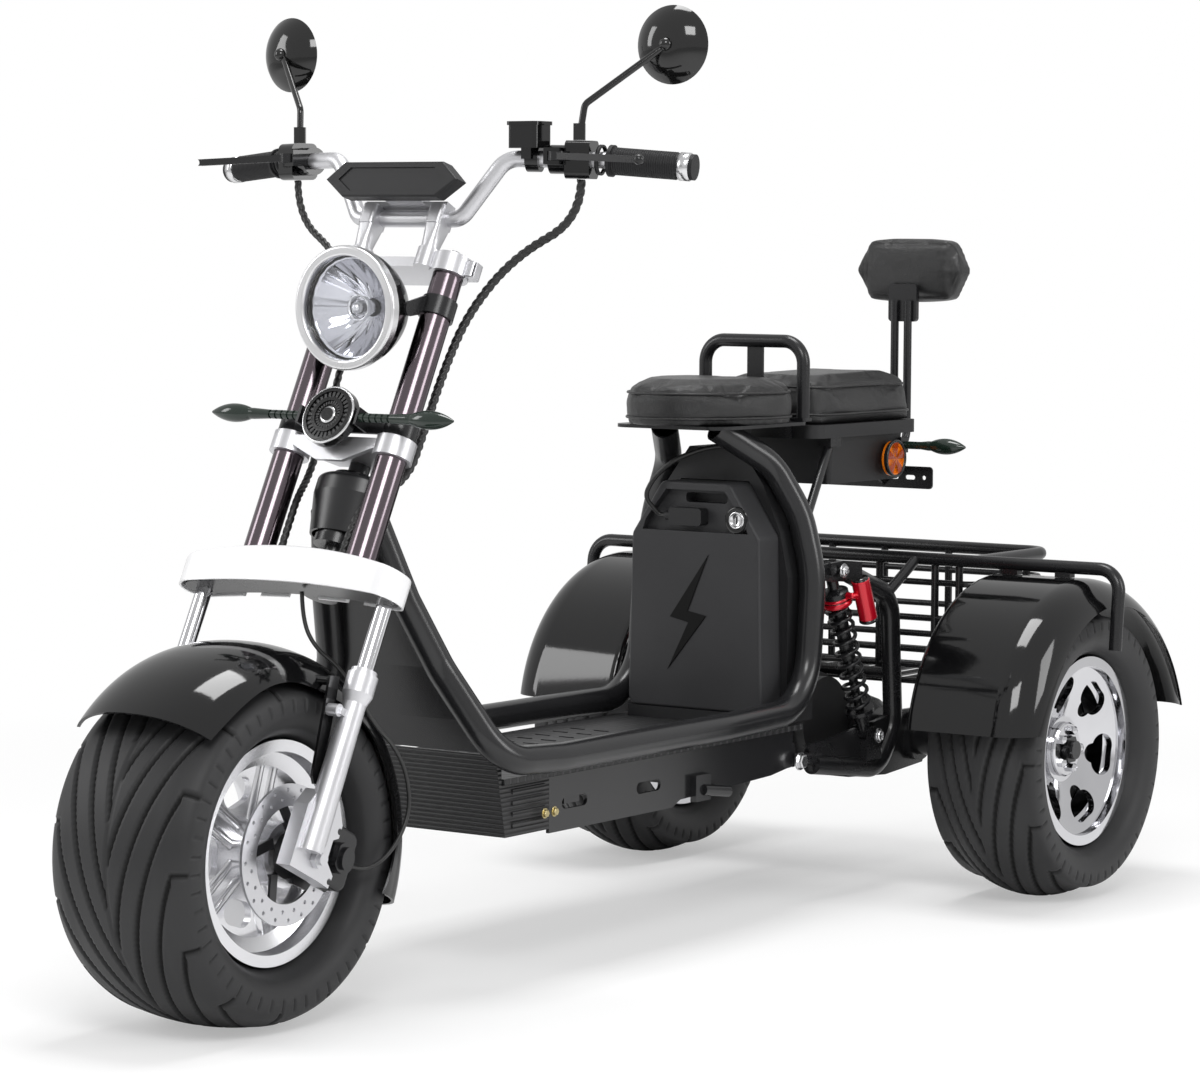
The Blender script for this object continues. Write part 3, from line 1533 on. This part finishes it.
@dataclass
class Studio:
    """Camera, lamps, background and floor."""

    azimuth: float = 34.931
    height: float = 4.474
    roll: float = 0.299
    lens: float = 117.943
    eye: tuple = (3.22475, -4.5733624, 1.00914)
    floor_half: float = 14
    fade_from: float = 0.9
    fade_over: float = 1.9

    def camera(self) -> None:
        """Sets the camera at the viewing angle."""
        data = bpy.data.cameras.new("camera")
        data.lens = self.lens
        data.sensor_width = 36
        data.clip_end = 60
        az, el, roll = (math.radians(v) for v in (self.azimuth, self.height, self.roll))
        back = Vector((math.sin(az) * math.cos(el), -math.cos(az) * math.cos(el), math.sin(el)))
        right = (-back).cross(Vector((0, 0, 1))).normalized()
        up = right.cross(-back)
        rolled_right = right * math.cos(roll) + up * math.sin(roll)
        rolled_up = up * math.cos(roll) - right * math.sin(roll)
        turn = Matrix((rolled_right, rolled_up, back)).transposed().to_4x4()
        eye = linked("camera", data)
        eye.matrix_world = Matrix.Translation(Vector(self.eye)) @ turn
        bpy.context.scene.camera = eye

    @staticmethod
    def lamp(name: str, spot: tuple, aim: tuple, size: tuple, watts: float) -> None:
        """Hangs one soft rectangular lamp.

        Args:
            name: Its name.
            spot: Where it hangs.
            aim: What it points at.
            size: Width and height of its face.
            watts: Its strength.
        """
        data = bpy.data.lights.new(name, "AREA")
        data.shape = "RECTANGLE"
        data.size, data.size_y = size
        data.energy = watts
        turn = (Vector(spot) - Vector(aim)).to_track_quat("Z", "Y").to_matrix().to_4x4()
        linked(name, data).matrix_world = Matrix.Translation(Vector(spot)) @ turn

    @staticmethod
    def world() -> None:
        """Makes a world that is white where it is looked at and a plain grey light otherwise."""
        sky = bpy.data.worlds.new("sky")
        sky.use_nodes = True
        nodes = Nodes(sky.node_tree)
        rays = ("Is Camera Ray", "Is Glossy Ray", "Is Transmission Ray")
        seen, gloss, through = (nodes.node("ShaderNodeLightPath", output=ray) for ray in rays)
        background = nodes.tree.nodes["Background"].inputs
        nodes.feed(background["Strength"], (seen + gloss * 0.4 + through).clamp() * 0.5 + 0.5)
        nodes.feed(background["Color"], WHITE)
        bpy.context.scene.world = sky

    def floor(self) -> None:
        """Lays a pale floor that meets the background without an edge."""
        data = bpy.data.meshes.new("floor")
        half = self.floor_half
        corners = [(-half, -half, 0), (half, -half, 0), (half, half, 0), (-half, half, 0)]
        data.from_pydata(corners, [], [(0, 1, 2, 3)])
        s = Shader("studio_floor")
        s.set("Base Color", s.blend(s.noise(0.8, 2), (0.93, 0.93, 0.93, 1), (0.97, 0.97, 0.97, 1)))
        s.set("Roughness", 0.7)
        s.set("Specular IOR Level", 0.1)
        across, along = s.axis("X"), s.axis("Y")
        away = (across * across + along * along) ** 0.5
        seen = s.node("ShaderNodeLightPath", output="Is Camera Ray")
        share = (((away - self.fade_from) / self.fade_over).clamp() * 0.6 + 0.4) * seen
        light = s.node("ShaderNodeEmission", inputs={"Color": WHITE, "Strength": 1.0})
        plain = Signal(s, s.surface.outputs[0])
        lit = s.node("ShaderNodeMixShader", inputs={0: share, 1: plain, 2: light})
        s.feed(s.tree.nodes["Material Output"].inputs["Surface"], lit)
        data.materials.append(s.material)
        linked("floor", data)

    def build(self) -> None:
        """Sets up the whole studio."""
        self.camera()
        self.world()
        self.floor()
        self.lamp("key", (2.6, -3.4, 3.6), (0, 0, 0.5), (1.9, 1.5), 85)
        self.lamp("side", (4.2, 1.2, 2.2), (0, 0.2, 0.5), (1.3, 2.2), 50)
        self.lamp("left", (-3.6, -2.8, 2.4), (0, -0.3, 0.5), (1.2, 2.4), 50)
        self.lamp("top", (0, 0.2, 4.2), (0, 0, 0.3), (1.6, 1.6), 80)
        bpy.context.scene.view_settings.view_transform = "Standard"


# ---------------------------------------------------------------- the tricycle
def tyres() -> list[Tyre]:
    """Lists the three tyres.

    Returns:
        The wide front tyre and the two rear ones.
    """
    front = {"width": 0.229, "rim_width": 0.164, "flat": 0.76, "drop": 0.09, "around": 480, "across": 150}
    back = {"width": 0.188, "rim_width": 0.140, "flat": 0.69, "drop": 0.19, "around": 430, "across": 110}
    return [
        Tyre(Corner.FRONT, "front_tyre", 0.0, **front),
        Tyre(Corner.LEFT, "rear_tyre_left", TRACK_HALF, **back),
        Tyre(Corner.RIGHT, "rear_tyre_right", -TRACK_HALF, **back),
    ]


def cushions() -> list[Cushion]:
    """Lists the two seats and the backrest.

    Returns:
        The cushions with their seams.
    """
    front_seams = (Seam(Stitch.BELT, 0.7745, 0.005, 0.0016), Seam(Stitch.BELT, 0.738, 0.004, 0.0012))
    rear_seams = (Seam(Stitch.BELT, 0.7765, 0.005, 0.0016), Seam(Stitch.BELT, 0.735, 0.004, 0.0012))
    return [
        Cushion("front_seat", 0.75, front_seams),
        Cushion("rear_seat", 0.75, rear_seams),
        Cushion("backrest_pad", 0.8, (Seam(Stitch.PANEL, 0.78, 0.05, 0.004),), upright=True),
    ]


def main() -> None:
    """Builds the studio and every piece of the tricycle in order."""
    logging.basicConfig(level=logging.INFO, format="%(name)s %(message)s")
    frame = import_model()
    Studio().build()
    palette = Palette()
    palette.dress_frame(frame)
    shop = Workshop(palette)
    for tyre in tyres():
        tyre.build(shop)
    dresses = (WheelDress, Looms, Shocks, Lamp, HornDress, BarDress, BatteryDress, SideLamps, Fasteners)
    for dress in dresses:
        dress().build(shop)
    for cushion in cushions():
        cushion.build(shop, frame)
    log.info("%d pieces built", shop.count)


if __name__ == "__main__":
    main()
